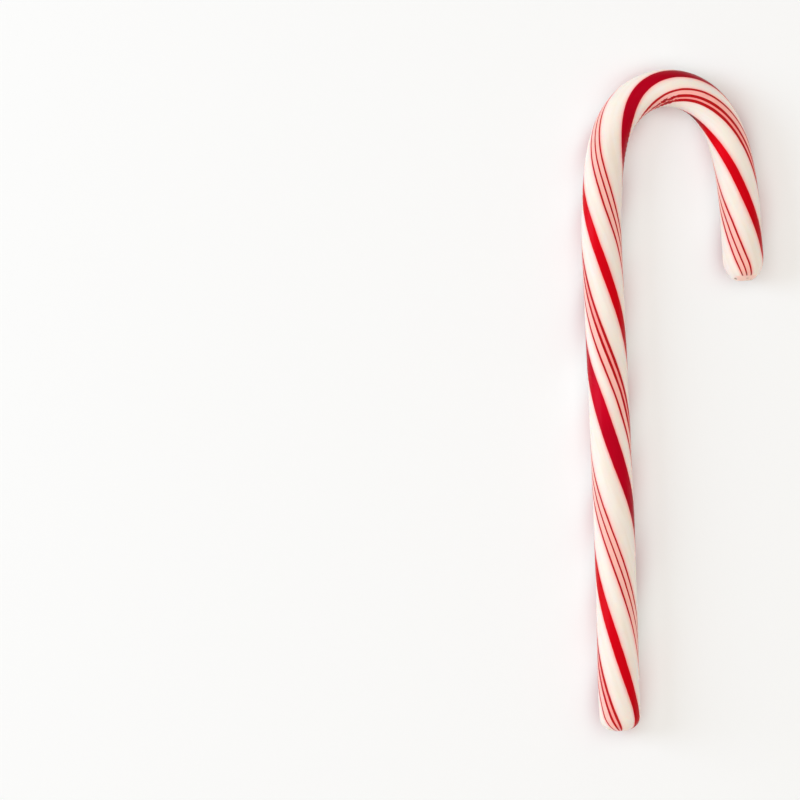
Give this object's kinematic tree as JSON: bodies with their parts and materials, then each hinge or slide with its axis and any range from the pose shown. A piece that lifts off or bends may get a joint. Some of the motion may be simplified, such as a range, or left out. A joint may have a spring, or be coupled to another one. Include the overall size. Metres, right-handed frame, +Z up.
{
  "type": "candy cane",
  "caption": "Hooked stick of hard striped peppermint sugar: a long straight shaft with blunt rounded ends, bent at the top into a crook whose short limb hangs beside the shaft.",
  "frame": {"origin": "On the table, under the middle of the whole cane's box as it lies flat.", "axes": "+Y from the foot up the shaft to the crook, which is the longest extent. +X toward the side on which the crook's free end hangs. +Z up from the table, the thickness of the stick."},
  "size_m": [0.0386, 0.1402, 0.0087],
  "materials": {
    "sugar": "satin-gloss hard sugar, ivory with red stripes"
  },
  "bodies": {
    "root": {"cane": "sugar"}
  },
  "joints": []
}
